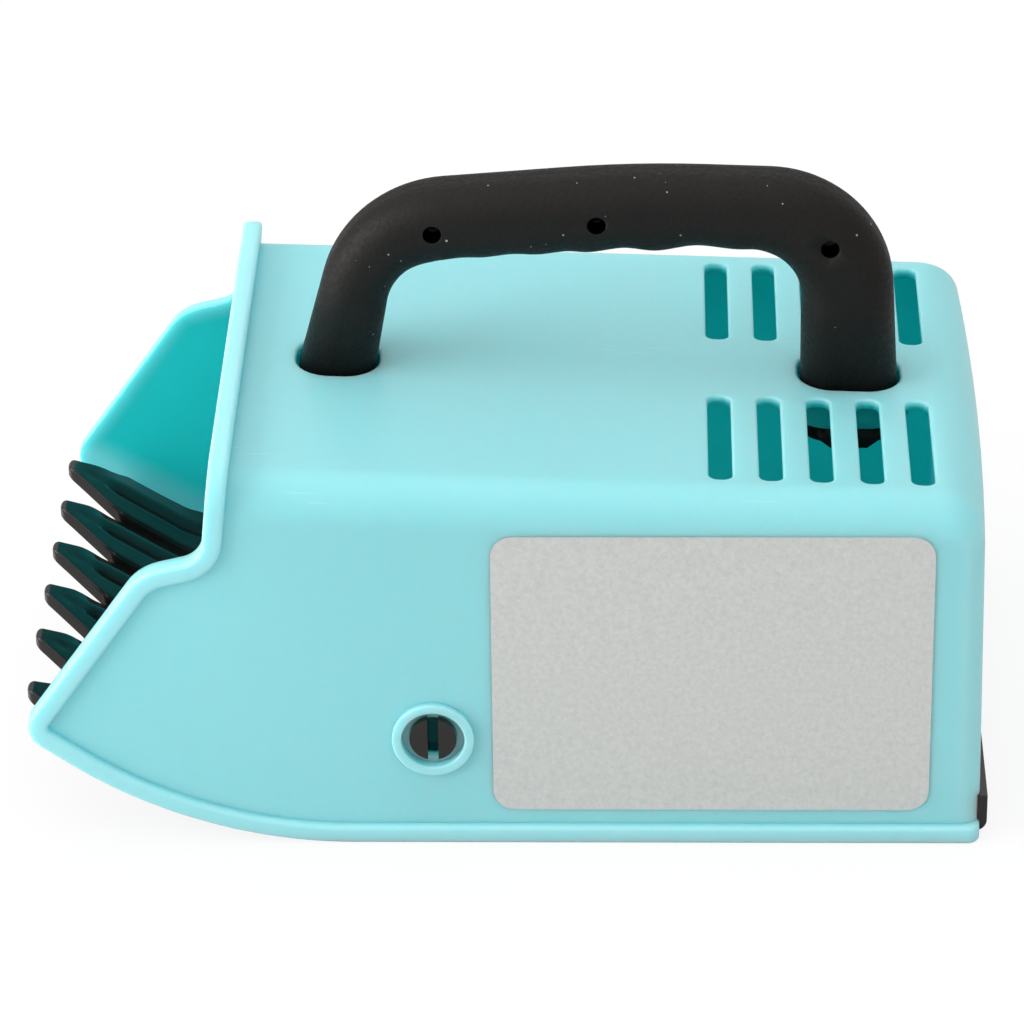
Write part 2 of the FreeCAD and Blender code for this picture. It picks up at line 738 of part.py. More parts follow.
def groove_cutters():
    """Round-bottomed grooves along the tops of the tines."""
    pitch = f"(2 * {TRAY_HALF} / sizes.tine_count)"
    comb_x = f"({TIP_X} + sizes.comb_from_tip)"
    comb_z = f"(sizes.tray_lift + ({TRAY_BEND_X} - {comb_x}) * tan(sizes.tray_bend_angle))"
    start_x = f"({FRONT_X} + sizes.groove_start)"
    above = "(sizes.tray_thickness + sizes.groove_radius - sizes.groove_depth)"
    line_z = f"({comb_z} + ({comb_x} - {start_x}) * tan(sizes.comb_angle))"
    cutters = []
    for i in range(int(size("tine_count"))):
        y = f"(-{TRAY_HALF} + ({i} + 0.5) * {pitch})"
        groove = add("Part::Cylinder", f"groove_{i}")
        groove.Placement = Placement(
            Vector(0, 0, 0), Rotation(Vector(0, 1, 0), 90 + size("comb_angle")))
        bind(groove, Radius="sizes.groove_radius", Height="sizes.groove_length")
        bind(groove, Placement__Base__x=f"{start_x} + {above} * sin(sizes.comb_angle)",
             Placement__Base__y=y,
             Placement__Base__z=f"{line_z} + {above} * cos(sizes.comb_angle)")
        cutters.append(groove)
    return cutters


def make_ears():
    """Ears on the floor's edges, each with a split snap pin that points outwards."""
    solids, slots = [], []
    out = TRAY_HALF
    face = f"({PIN_WALL_Y} + sizes.boss_proud - sizes.well_depth)"
    head = f"({face} + sizes.tray_gap / 2)"
    for side in SIDES:
        y_low, y_high = outward(side, f"({out} - sizes.ear_thickness)", out)
        solids.append(rod(f"ear_eye_{side}", "sizes.ear_radius", y_low, y_high,
                          PIN_X, "sizes.pin_height"))
        solids.append(box(
            f"ear_stem_{side}",
            (f"({PIN_X} - sizes.ear_radius)", y_low, "(sizes.tray_lift + sizes.tray_thickness / 2)"),
            (f"({PIN_X} + sizes.ear_radius)", y_high, "sizes.pin_height"),
        ))
        solids.append(rod(f"pin_{side}", "sizes.pin_diameter / 2",
                          *outward(side, f"({out} - sizes.ear_thickness / 2)", head),
                          PIN_X, "sizes.pin_height"))
        solids.append(rod(f"pin_head_{side}", "sizes.pin_head_diameter / 2",
                          *outward(side, head, f"({head} + sizes.pin_head_length)"),
                          PIN_X, "sizes.pin_height"))
        tip = f"({head} + sizes.pin_head_length + sizes.overrun)"
        y_in, y_out = outward(side, f"({head} + sizes.pin_head_length - sizes.pin_slot_depth)", tip)
        reach = "sizes.pin_head_diameter"
        slots.append(box(
            f"pin_slot_{side}",
            (f"({PIN_X} - sizes.pin_slot_width / 2)", y_in, f"(sizes.pin_height - {reach} / 2)"),
            (f"({PIN_X} + sizes.pin_slot_width / 2)", y_out, f"(sizes.pin_height + {reach} / 2)"),
        ))
    return solids, slots


def make_comb_tray():
    profile = outline("tray_profile", tray_corners())
    strip = prism("tray_strip", profile, f"2 * ({INNER_HALF} - sizes.tray_gap)")
    flanks = []
    for side in SIDES:
        y_low, y_high = outward(side, TRAY_HALF, "(sizes.wall_base_width / 2 + sizes.overrun)")
        flanks.append(box(
            f"tray_flank_{side}",
            (f"({FRONT_X} - sizes.overrun)", y_low, "-sizes.overrun"),
            (f"({REAR_X} + sizes.lip_proud - sizes.lip_thickness)", y_high, "sizes.roof_height"),
        ))
        y_low, y_high = outward(side, f"({INNER_HALF} - sizes.corner_round)", INNER_HALF)
        flanks.append(box(
            f"tongue_end_{side}",
            (f"({REAR_X} - sizes.wall - sizes.overrun)", y_low, "sizes.lip_height"),
            (f"({REAR_X} + sizes.overrun)", y_high, "sizes.roof_height"),
        ))
    ears, pin_slots = make_ears()
    whole = join("tray_joined", cut("tray_floor", strip, *flanks), *ears)
    return cut("comb_tray", whole, *notch_cutters(), *valley_cutters(), *groove_cutters(),
               *pin_slots)


def below_bow(bow_shares, palm_shares, leg):
    """A corner of the handle's underside, set out from the corner above it."""
    x = f"({handle_x(bow_shares[0])} + {palm_shares[0]} * sizes.{leg}_leg_width)"
    return x, f"({handle_z(bow_shares[1])} - {palm_shares[1]} * sizes.grip_depth)"


def make_handle():
    """The two handle halves: a bow with legs, plugs in the sockets and hooks under them."""
    foot_front = roof_z(LEGS["front"][0], "sizes.foot_depth")
    foot_rear = roof_z(LEGS["rear"][1], "sizes.foot_depth")
    profile = outline("handle_profile", [
        (LEGS["front"][0], foot_front, None),
        (LEGS["front"][1], foot_front, None),
        (*below_bow(FRONT_BOW_SHARES, FRONT_PALM_SHARES, "front"), "sizes.front_palm_round"),
        (*below_bow(ARCH_TOP_SHARES, ARCH_PALM_SHARES, "front"), "sizes.palm_arch_round"),
        (*below_bow(REAR_BOW_SHARES, REAR_PALM_SHARES, "rear"), "sizes.rear_palm_round"),
        (LEGS["rear"][0], foot_rear, None),
        (LEGS["rear"][1], foot_rear, None),
        (handle_x(REAR_BOW_SHARES[0]), handle_z(REAR_BOW_SHARES[1]), "sizes.rear_bow_round"),
        (handle_x(ARCH_TOP_SHARES[0]), handle_z(ARCH_TOP_SHARES[1]), "sizes.arch_round"),
        (handle_x(FRONT_BOW_SHARES[0]), handle_z(FRONT_BOW_SHARES[1]), "sizes.front_bow_round"),
    ])
    bow = prism("handle_bow", profile, "sizes.handle_width")
    half = size("handle_width") / 2
    feet = [number(foot_front), number(foot_rear)]

    def on_flank(edge):
        span = edge.BoundBox
        flat = span.YLength < 0.01 and abs(abs(span.YMin) - half) < 0.01
        foot = span.ZLength < 0.01 and min(abs(span.ZMin - z) for z in feet) < 0.01
        return flat and not foot

    rounded = fillet("handle_rounded", bow, (size("grip_round"), on_flank))
    plugs = []
    for leg, (x_low, x_high) in LEGS.items():
        foot = {"front": foot_front, "rear": foot_rear}[leg]
        bottom = roof_z(x_low, "(sizes.socket_depth + sizes.hook_gap + sizes.hook_height)")
        plugs.append(leg_block(f"plug_{leg}", leg, "-sizes.plug_step", bottom,
                               f"({foot} + sizes.foot_depth / 2)",
                               size("grip_round") - size("plug_step")))
        centre = f"(({x_low} + {x_high}) / 2)"
        right = [(f"({centre} + {x} * sizes.hook_width / 2)", f"({bottom} + {z} * sizes.hook_height)",
                  None) for x, z in reversed(HOOK_SHARES)]
        left = [(f"({centre} - {x} * sizes.hook_width / 2)", f"({bottom} + {z} * sizes.hook_height)",
                 None) for x, z in HOOK_SHARES]
        hook = outline(f"hook_outline_{leg}", right + left)
        plugs.append(prism(f"hook_{leg}", hook,
                           "sizes.handle_width + 2 * (sizes.leg_gap + sizes.hook_reach)"))
    whole = join("handle_whole", rounded, *plugs)
    split = box(
        "handle_far_side",
        (f"({handle_x(0)} - sizes.overrun)", "sizes.handle_split", "0"),
        (f"({handle_x(1)} + sizes.overrun)", "sizes.handle_width",
         f"({handle_z(1)} + sizes.overrun)"),
    )
    near_cuts, far_cuts = [split], []
    for place, (share_x, share_z) in SCREW_SHARES.items():
        x, z = handle_x(share_x), handle_z(share_z)
        face = "(-sizes.handle_width / 2)"
        seat = f"({face} + sizes.screw_seat_depth)"
        end = f"({seat} + sizes.screw_length)"
        near_cuts.append(rod(f"screw_well_{place}", "sizes.screw_hole_diameter / 2",
                             f"({face} - sizes.overrun)", seat, x, z))
        near_cuts.append(rod(f"screw_bore_{place}", "sizes.screw_shank_diameter / 2", seat,
                             "(sizes.handle_split + sizes.overrun)", x, z))
        far_cuts.append(rod(f"screw_thread_{place}", "sizes.screw_shank_diameter / 2",
                            "sizes.handle_split - sizes.overrun", end, x, z))
    near = cut("handle_half_near", whole, *near_cuts)
    far = cut("handle_half_far", overlap("handle_far_raw", whole, split), *far_cuts)
    return near, far


def make_screw(place, share_x, share_z):
    """A self-tapping screw with a slotted cheese head, turned about its own axis."""
    body = add("PartDesign::Body", f"handle_screw_{place}")
    plane = next(p for p in body.Origin.OriginFeatures if p.Role == "XY_Plane")
    sketch = body.newObject("Sketcher::SketchObject", f"screw_section_{place}")
    sketch.AttachmentSupport = [(plane, "")]
    sketch.MapMode = "FlatFace"
    head, shank = "sizes.screw_head_diameter / 2", "sizes.screw_shank_diameter / 2"
    corners = [
        ("0", "-sizes.screw_length"), (shank, "-sizes.screw_length"), (shank, "0"), (head, "0"),
        (head, "sizes.screw_head_height"), ("0", "sizes.screw_head_height"),
    ]
    places = [Vector(number(x), number(y), 0) for x, y in corners]
    for i, start in enumerate(places):
        sketch.addGeometry(Part.LineSegment(start, places[(i + 1) % len(places)]), False)
    for i, (x, y) in enumerate(corners):
        sketch.addConstraint(Sketcher.Constraint("Coincident", i - 1 if i else 5, 2, i, 1))
        for kind, formula in (("DistanceX", x), ("DistanceY", y)):
            tie(sketch, Sketcher.Constraint(kind, -1, 1, i, 1, number(formula)), formula)
    turned = body.newObject("PartDesign::Revolution", f"screw_turned_{place}")
    turned.Profile = sketch
    turned.ReferenceAxis = (sketch, ["V_Axis"])
    turned.Angle = 360
    body.Placement = Placement(Vector(0, 0, 0), Rotation(Vector(1, 0, 0), 180))
    slot = body.newObject("PartDesign::SubtractiveBox", f"screw_slot_{place}")
    bind(slot, Length="sizes.screw_head_diameter + 2 * sizes.screw_slot_width",
         Width="sizes.screw_slot_depth * 2", Height="sizes.screw_slot_width")
    slot.MapMode = "Deactivated"
    bind(slot, Placement__Base__x="-sizes.screw_head_diameter / 2 - sizes.screw_slot_width",
         Placement__Base__y="sizes.screw_head_height - sizes.screw_slot_depth",
         Placement__Base__z="-sizes.screw_slot_width / 2")
    bind(body, Placement__Base__x=handle_x(share_x),
         Placement__Base__y="-sizes.handle_width / 2 + sizes.screw_seat_depth",
         Placement__Base__z=handle_z(share_z))
    return body


def make_label():
    """The sticker, a thin pad flat on the near wall."""
    x_low = f"({TIP_X} + sizes.label_from_tip)"
    x_high = f"({x_low} + sizes.label_length)"
    z_low, z_high = "sizes.label_base", "(sizes.label_base + sizes.label_height)"
    sketch = outline("label_plan", [
        (x_low, z_low, "sizes.label_round"), (x_high, z_low, "sizes.label_round"),
        (x_high, z_high, "sizes.label_round"), (x_low, z_high, "sizes.label_round"),
    ])
    pad = prism("label_sticker", sketch, "sizes.label_thickness", symmetric=False)
    tilt = -size("side_draft")
    foot = size("wall_base_width") / 2
    spin = Rotation(Vector(1, 0, 0), tilt)
    sketch.Placement = Placement(Vector(0, -foot, 0), spin.multiply(sketch.Placement.Rotation))
    return pad


def main():
    near, far = make_handle()
    nodes = {
        "body_shell": make_body_shell(),
        "comb_tray": make_comb_tray(),
        "handle_half_near": near,
        "handle_half_far": far,
        "label_sticker": make_label(),
    }
    for place, (share_x, share_z) in SCREW_SHARES.items():
        nodes[f"handle_screw_{place}"] = make_screw(place, share_x, share_z)
    doc.recompute()
    failed = [o.Name for o in doc.Objects if {"Invalid", "Error"} & set(o.State)]
    if failed:
        sys.exit(f"these objects failed: {failed}")
    os.makedirs("parts", exist_ok=True)
    for name, thing in nodes.items():
        thing.Label = name
        shape = thing.Shape
        if shape.isNull() or not shape.isValid():
            sys.exit(f"{name}: its shape is null or not valid")
        shape.exportStep(f"parts/{name}.step")
        span = shape.BoundBox
        print(f"{name}: {len(shape.Solids)} solid, volume {shape.Volume:.0f} mm3,"
              f" X {span.XMin:.2f} to {span.XMax:.2f}, Y {span.YMin:.2f} to {span.YMax:.2f},"
              f" Z {span.ZMin:.2f} to {span.ZMax:.2f}")


main()
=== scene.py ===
"""Looks of the berry rake: materials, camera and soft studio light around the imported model.
Metres, in the model's own frame: +X to the rear wall, +Y away from the camera, +Z up."""
import math

import bmesh
import bpy
from mathutils import Matrix, Vector


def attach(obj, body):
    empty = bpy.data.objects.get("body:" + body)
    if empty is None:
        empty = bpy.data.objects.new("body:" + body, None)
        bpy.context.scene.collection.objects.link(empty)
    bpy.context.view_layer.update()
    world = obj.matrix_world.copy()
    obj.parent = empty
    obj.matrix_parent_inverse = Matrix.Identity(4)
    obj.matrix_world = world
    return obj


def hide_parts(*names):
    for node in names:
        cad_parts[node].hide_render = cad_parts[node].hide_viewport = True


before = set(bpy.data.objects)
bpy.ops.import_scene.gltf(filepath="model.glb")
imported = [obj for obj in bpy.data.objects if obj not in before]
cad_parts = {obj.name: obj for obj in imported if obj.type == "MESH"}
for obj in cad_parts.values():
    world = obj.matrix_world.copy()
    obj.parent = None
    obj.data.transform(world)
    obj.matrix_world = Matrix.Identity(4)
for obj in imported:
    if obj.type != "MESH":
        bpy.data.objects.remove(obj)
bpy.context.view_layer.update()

MM = 0.001

# Camera: measured on the photograph, as real distances and angles
IMAGE_SIZE = 1024
SENSOR = 36.0
FOCAL_PIXELS = 5224.2
CAMERA_DISTANCE = 880.2 * MM
CAMERA_AIM = Vector((0.22 * MM, 0, 35.68 * MM))
CAMERA_ELEVATION = math.radians(30.0)
CAMERA_YAW = math.radians(1.68)
CAMERA_ROLL = math.radians(-0.8)

# The shell's outer skin at the origin, and the depth at which its painted shade, a deeper inner
# colour, starts
SIDE_DRAFT = math.tan(math.radians(0.8))
ROOF_SLOPE = math.tan(math.radians(1.9))
SKIN_HALF_WIDTH = 45.7 * MM
SKIN_HEIGHT = 64.66 * MM
SKIN_REAR = 77.4 * MM
SKIN_ROUND = 6.5 * MM
SKIN_DEPTH = 0.6 * MM

# What stands proud of the skin and gets a painted highlight, by its step and the share of it that
# counts, and a pin's ring, which the painted shade leaves out
PROUD_STEP = 0.8 * MM
PROUD_START = 0.4
PIN = (-11.8, 19.5)
RING_RADIUS = 7.4 * MM
PIN_HOLE_RADIUS = 3.95 * MM
RING_SIDE = 40.0 * MM

# Lines near which the painted shade on a cheek's inner side fades, leaving it paler, in
# millimetres: a place on the line, the angle of its outward normal in degrees and the fade's width
EDGE_LINES = (
    (-48.5, 53.2, 173.9, 3.0), (-58.7, 50.6, 104.2, 3.0), (-58.7, 50.6, 145.2, 3.0),
    (-63.6, 15.1, 238.9, 4.5),
)
# How much of the painted shade fades out at those edges
EDGE_SHADE_FADE = 0.6

# Finishes: colours, roughness from low to high, and grain as repeats to the metre
SKIN_COLOURS = ((0.285, 0.685, 0.735, 1), (0.3, 0.70, 0.75, 1))
# Painted highlight: a paler, whiter colour on what stands proud of the skin
PROUD_HIGHLIGHT_COLOUR = (0.35, 0.70, 0.745, 1)
# Painted shade: a deeper teal put on the shell's inner faces, slots and the pin's well
INNER_SHADE_COLOUR = (0.015, 0.60, 0.612, 1)
SKIN_ROUGHNESS = (0.34, 0.42)
SKIN_CLOUDS, SKIN_GRAIN, SKIN_GRAIN_DEPTH = 18.0, 900.0, 0.03 * MM
SCATTER_SHARES, SCATTER_DEPTH = (0.4, 1.0, 1.0), 4.5 * MM
SCUFF_COLOUR = (0.5, 0.8, 0.83, 1)
SCUFF_STREAKS, SCUFF_STREAK_LEVELS = (90.0, 1500.0, 900.0), (0.64, 0.72)
SCUFF_PATCHES, SCUFF_PATCH_LEVELS = 38.0, (0.6, 0.68)
SCUFF_STRENGTH, SCUFF_REACH = 0.45, 4.0 * MM
COMB_COLOURS = ((0.008, 0.006, 0.005, 1), (0.013, 0.010, 0.009, 1))
COMB_ROUGHNESS = (0.13, 0.2)
COMB_CLOUDS, COMB_GRAIN, COMB_CLOUD_DEPTH = 60.0, 700.0, 0.1 * MM
GRIP_COLOURS = ((0.008, 0.007, 0.006, 1), (0.011, 0.009, 0.008, 1))
GRIP_ROUGHNESS = (0.48, 0.66)
GRIP_CLOUDS, GRIP_GRAIN, GRIP_GRAIN_DEPTH = 80.0, 1300.0, 0.14 * MM
GRIP_GLOSS = 0.2
DUST_COLOUR, DUST_CELLS = (0.32, 0.31, 0.29, 1), 420.0
DUST_LEAST, DUST_SIZE = 0.3, 0.13
LABEL_COLOURS = ((0.51, 0.525, 0.51, 1), (0.65, 0.665, 0.645, 1))
LABEL_SPECKLE = 1100.0
STEEL_GREYS, STEEL_GRAIN = (0.08, 0.14), 1200.0

# Grip, in millimetres: how far its underside hangs at places along it, the screws' holes with the
# painted shade on their walls, and the parting line
FINGER_WAVES = (
    (-17.5, 0.0), (-12.4, 0.38), (-7.0, 0.08), (-3.9, 0.27), (0.9, 0.0), (5.3, 0.37), (9.6, 0.1),
    (13.6, 0.53), (18.8, 0.12), (24.5, 1.0), (31.6, 0.0), (37.6, 0.36), (41.5, 0.12), (46.0, 0.0),
)
WAVE_SLICE = 0.8
WAVE_GAIN = 1.3
GRIP_LOWEST = 78.0
SCREWS = ("handle_screw_front", "handle_screw_middle", "handle_screw_rear")
SCREW_HOLE_RADIUS = 1.52
# Painted shade: near black for the screw holes' walls
SCREW_HOLE_SHADE = (0.0004, 0.0004, 0.0004, 1)
PARTING_Y = 1.9
PARTING_GROOVE = 0.16

# Comb: places on the floor's underside, in millimetres, and the tines' forms
COMB_REAR = -50.0
COMB_TIP = -78.7
COMB_CORNER = (-59.4, 10.231)
COMB_SLOPE = math.tan(math.radians(33.0))
FLOOR_SLOPE = math.tan(math.radians(21.3))
COMB_CORNER_BLEND = 0.42
COMB_BEND_LENGTH = 3.0
PLATE_THICKNESS = 2.2
TINE_COUNT = 6
TINE_PITCH = 14.2
TINE_LENGTH = 9.6
TIP_HALF_WIDTH = 1.35
TIP_ROUND = 1.1
CREST_ROUND = 0.45
# Across a tine, from its near edge at -1 to its far edge at 1: how far its top lies lower
RIDGE_FORM = (
    (-1.0, 1.9), (-0.985, 1.35), (-0.97, 0.6), (-0.95, 0.16), (-0.91, 0.04), (-0.85, 0.0),
    (0.3, 0.0), (0.42, 0.12), (0.93, 1.7), (1.0, 1.9),
)
GROOVE_FORM = (
    (-1.0, 0.0), (-0.34, 0.0), (-0.28, 0.06), (-0.17, 0.95), (-0.14, 1.1), (-0.1, 1.12),
    (-0.04, 0.62), (0.0, 0.46), (0.08, 0.28), (0.16, 0.13), (0.24, 0.04), (0.32, 0.0), (1.0, 0.0),
)
RIDGE_START, FLANK_START, RIDGE_END = 4.0, 7.0, 28.0
GROOVE_START, GROOVE_END, GROOVE_FADE = 6.2, 26.0, 2.4
FORM_STEP = 0.07
TIP_STEPS, TINE_STEPS, PLATE_STEPS = 8, 16, 34
OUTERMOST_RIDGE = 0.5
TINE_TAPER = 0.35
DENT = {"place": 4.2, "offset": -0.3, "radius": 1.7, "depth": 0.14}
NEAR_DROOPS = (1.65, 0.15)
DROOP_LENGTH = 15.0
PIN_END_ROUND = 0.4

# Meshes: in metres, how close points are one and faces flush, how much of a normal along an
# axis faces it, and the angle from which an edge is sharp
TOUCH = 1e-7
FLUSH = 1e-6
FACING = 0.99
SHARP_ANGLE = math.radians(35)

# Light and floor: a soft lamp in metres and watts, the studio's brightness on each side and
# above, the floor's half width in metres and how much of it glows towards the camera
SOFTBOX_PLACE, SOFTBOX_AIM = Vector((-1.0, -0.3, 0.4)), Vector((0, 0, 0.03))
SOFTBOX_SIZE, SOFTBOX_POWER = 0.9, 13.0
STUDIO = {"left": 0.25, "right": 0.5, "back": 0.7, "front": 0.75, "up": 1.45}
FLOOR_HALF_WIDTH = 3.0
FLOOR_GREY = 0.62
FLOOR_GLOW, FLOOR_GLOW_SHARE = 1.07, 0.8


def make_camera():
    """The camera, from its aim, distance, height, turn and roll."""
    back = Vector((
        math.sin(CAMERA_YAW) * math.cos(CAMERA_ELEVATION),
        -math.cos(CAMERA_YAW) * math.cos(CAMERA_ELEVATION),
        math.sin(CAMERA_ELEVATION),
    ))
    level = (-back).cross(Vector((0, 0, 1))).normalized()
    upright = level.cross(-back)
    right = level * math.cos(CAMERA_ROLL) + upright * math.sin(CAMERA_ROLL)
    up = upright * math.cos(CAMERA_ROLL) - level * math.sin(CAMERA_ROLL)
    data = bpy.data.cameras.new("camera")
    data.sensor_width = SENSOR
    data.lens = FOCAL_PIXELS / IMAGE_SIZE * SENSOR
    camera = bpy.data.objects.new("camera", data)
    place = CAMERA_AIM + back * CAMERA_DISTANCE
    camera.matrix_world = Matrix((
        (right.x, up.x, back.x, place.x),
        (right.y, up.y, back.y, place.y),
        (right.z, up.z, back.z, place.z),
        (0, 0, 0, 1),
    ))
    bpy.context.scene.collection.objects.link(camera)
    bpy.context.scene.camera = camera


def new_material(name):
    """An empty node material: its tree and its output node."""
    material = bpy.data.materials.new(name)
    material.use_nodes = True
    tree = material.node_tree
    tree.nodes.clear()
    output = tree.nodes.new("ShaderNodeOutputMaterial")
    return material, tree, output


def principled(tree, output, **inputs):
    """The surface's shader, with inputs named with underscores for spaces."""
    shader = tree.nodes.new("ShaderNodeBsdfPrincipled")
    for name, value in inputs.items():
        shader.inputs[name.replace("_", " ")].default_value = value
    tree.links.new(shader.outputs["BSDF"], output.inputs["Surface"])
    return shader


def object_noise(tree, scale, detail=2.0, roughness=0.5):
    """Noise fixed to the part."""
    coordinates = tree.nodes.new("ShaderNodeTexCoord")
    noise = tree.nodes.new("ShaderNodeTexNoise")
    noise.inputs["Scale"].default_value = scale
    noise.inputs["Detail"].default_value = detail
    noise.inputs["Roughness"].default_value = roughness
    tree.links.new(coordinates.outputs["Object"], noise.inputs["Vector"])
    return noise


def ramp(tree, source, low, high, positions=(0.3, 0.7)):
    """A run from one colour to another between two positions."""
    node = tree.nodes.new("ShaderNodeValToRGB")
    node.color_ramp.elements[0].position = positions[0]
    node.color_ramp.elements[1].position = positions[1]
    node.color_ramp.elements[0].color = low
    node.color_ramp.elements[1].color = high
    tree.links.new(source, node.inputs["Fac"])
    return node


def grey(value):
    return (value, value, value, 1.0)


def bump(tree, source, shader, strength, distance):
    """Relief from a height socket."""
    node = tree.nodes.new("ShaderNodeBump")
    node.inputs["Strength"].default_value = strength
    node.inputs["Distance"].default_value = distance
    tree.links.new(source, node.inputs["Height"])
    tree.links.new(node.outputs["Normal"], shader.inputs["Normal"])


def math_node(tree, operation, first, second=0.0, third=None):
    """A sum or another operation on sockets or plain numbers."""
    node = tree.nodes.new("ShaderNodeMath")
    node.operation = operation
    for slot, value in enumerate((first, second, third)):
        if value is None:
            continue
        if isinstance(value, (int, float)):
            node.inputs[slot].default_value = value
        else:
            tree.links.new(value, node.inputs[slot])
    return node.outputs["Value"]


def vector_node(tree, operation, first, second):
    """An operation on vector sockets or plain vectors."""
    node = tree.nodes.new("ShaderNodeVectorMath")
    node.operation = operation
    for slot, value in enumerate((first, second)):
        if isinstance(value, tuple):
            node.inputs[slot].default_value = value
        else:
            tree.links.new(value, node.inputs[slot])
    return node


def clamped(tree, value):
    """A value kept between 0 and 1."""
    node = tree.nodes.new("ShaderNodeClamp")
    tree.links.new(value, node.inputs["Value"])
    return node.outputs["Result"]


def object_place(tree):
    """Sockets of a place on the part: X, Y and Z in metres."""
    coordinates = tree.nodes.new("ShaderNodeTexCoord")
    split = tree.nodes.new("ShaderNodeSeparateXYZ")
    tree.links.new(coordinates.outputs["Object"], split.inputs["Vector"])
    return tuple(split.outputs[axis] for axis in "XYZ")


def axis_reach(tree, x, z, centre):
    """Distance of a place from an axis along Y through a centre given in millimetres."""
    across = math_node(tree, "SUBTRACT", x, centre[0] * MM)
    above = math_node(tree, "SUBTRACT", z, centre[1] * MM)
    square = math_node(tree, "MULTIPLY", above, above)
    return math_node(tree, "SQRT", math_node(tree, "MULTIPLY_ADD", across, across, square))


def shell_masks(tree):
    """By the depth under a block with rounded edges: a mask for painted shade on the shell's inner
    faces, its slots and the pin's well, less near the cheeks' edges, and a mask for a painted
    highlight on what stands proud of its outer skin."""
    x, y, z = object_place(tree)
    rear = math_node(tree, "MULTIPLY_ADD", z, SIDE_DRAFT, x)
    side = math_node(tree, "MULTIPLY_ADD", z, SIDE_DRAFT, math_node(tree, "ABSOLUTE", y))
    roof = math_node(tree, "MULTIPLY_ADD", x, ROOF_SLOPE, z)
    place = tree.nodes.new("ShaderNodeCombineXYZ")
    for slot, value in enumerate((rear, side, roof)):
        tree.links.new(value, place.inputs[slot])
    core = tuple(face - SKIN_ROUND for face in (SKIN_REAR, SKIN_HALF_WIDTH, SKIN_HEIGHT))
    beyond = vector_node(tree, "SUBTRACT", place.outputs["Vector"], core)
    outside = vector_node(tree, "MAXIMUM", beyond.outputs["Vector"], (0, 0, 0))
    length = vector_node(tree, "LENGTH", outside.outputs["Vector"], (0, 0, 0))
    depth = math_node(tree, "SUBTRACT", SKIN_ROUND, length.outputs["Value"])
    proud_highlight = clamped(tree, math_node(tree, "MULTIPLY_ADD", depth, -1 / PROUD_STEP, -PROUD_START))
    share = math_node(tree, "DIVIDE", math_node(tree, "SUBTRACT", depth, SKIN_DEPTH), SKIN_DEPTH)
    inner_shade = math_node(tree, "MULTIPLY", clamped(tree, share), edge_share(tree, x, z))
    reach = axis_reach(tree, x, z, PIN)
    ring = math_node(tree, "MULTIPLY", math_node(tree, "LESS_THAN", reach, RING_RADIUS),
                     math_node(tree, "GREATER_THAN", reach, PIN_HOLE_RADIUS))
    ring = math_node(tree, "MULTIPLY", ring, math_node(tree, "LESS_THAN", y, -RING_SIDE))
    inner_shade = math_node(tree, "MULTIPLY", inner_shade, math_node(tree, "SUBTRACT", 1.0, ring))
    return inner_shade, proud_highlight


def line_share(tree, x, z, line):
    """How deep a place lies behind a line, as a share of the width of the line's fade."""
    px, pz, angle, fade = line
    turn = math.radians(angle)
    across = math.cos(turn) / (fade * MM)
    above = math.sin(turn) / (fade * MM)
    along = math_node(tree, "MULTIPLY", math_node(tree, "SUBTRACT", px * MM, x), across)
    return math_node(tree, "MULTIPLY_ADD", math_node(tree, "SUBTRACT", pz * MM, z), above, along)


def edge_share(tree, x, z):
    """How much of the painted shade stays: least on the edges of the mouth and the cheeks and
    beside the comb, 1 well inside.
    """
    mouth, shoulder, cheek, comb = (line_share(tree, x, z, line) for line in EDGE_LINES)
    cheek = math_node(tree, "MINIMUM", math_node(tree, "MINIMUM", shoulder, cheek), comb)
    share = clamped(tree, math_node(tree, "MAXIMUM", mouth, cheek))
    return math_node(tree, "MULTIPLY_ADD", share, EDGE_SHADE_FADE, 1 - EDGE_SHADE_FADE)


def mixed(tree, factor, first, second):
    """A mix of a colour socket with a fixed colour."""
    mix = tree.nodes.new("ShaderNodeMix")
    mix.data_type = "RGBA"
    tree.links.new(factor, mix.inputs["Factor"])
    tree.links.new(first, mix.inputs["A"])
    mix.inputs["B"].default_value = second
    return mix.outputs["Result"]


def scuff_mask(tree):
    """Faint pale scuffs, drawn out along the roof, in a few patches."""
    coordinates = tree.nodes.new("ShaderNodeTexCoord")
    stretched = vector_node(tree, "MULTIPLY", coordinates.outputs["Object"], SCUFF_STREAKS)
    streaks = tree.nodes.new("ShaderNodeTexNoise")
    streaks.inputs["Scale"].default_value = 1.0
    tree.links.new(stretched.outputs["Vector"], streaks.inputs["Vector"])
    thin = ramp(tree, streaks.outputs["Fac"], grey(0.0), grey(SCUFF_STRENGTH),
                SCUFF_STREAK_LEVELS)
    patches = object_noise(tree, SCUFF_PATCHES, detail=1.0)
    where = ramp(tree, patches.outputs["Fac"], grey(0.0), grey(1.0), SCUFF_PATCH_LEVELS)
    height = object_place(tree)[2]
    roof = math_node(tree, "GREATER_THAN", height, SKIN_HEIGHT - SCUFF_REACH)
    return math_node(tree, "MULTIPLY", roof, math_node(
        tree, "MULTIPLY", thin.outputs["Color"], where.outputs["Color"]))


def link_roughness(tree, noise, shader, limits):
    """Roughness that follows a noise between two limits."""
    rough = ramp(tree, noise.outputs["Fac"], grey(limits[0]), grey(limits[1]))
    tree.links.new(rough.outputs["Color"], shader.inputs["Roughness"])


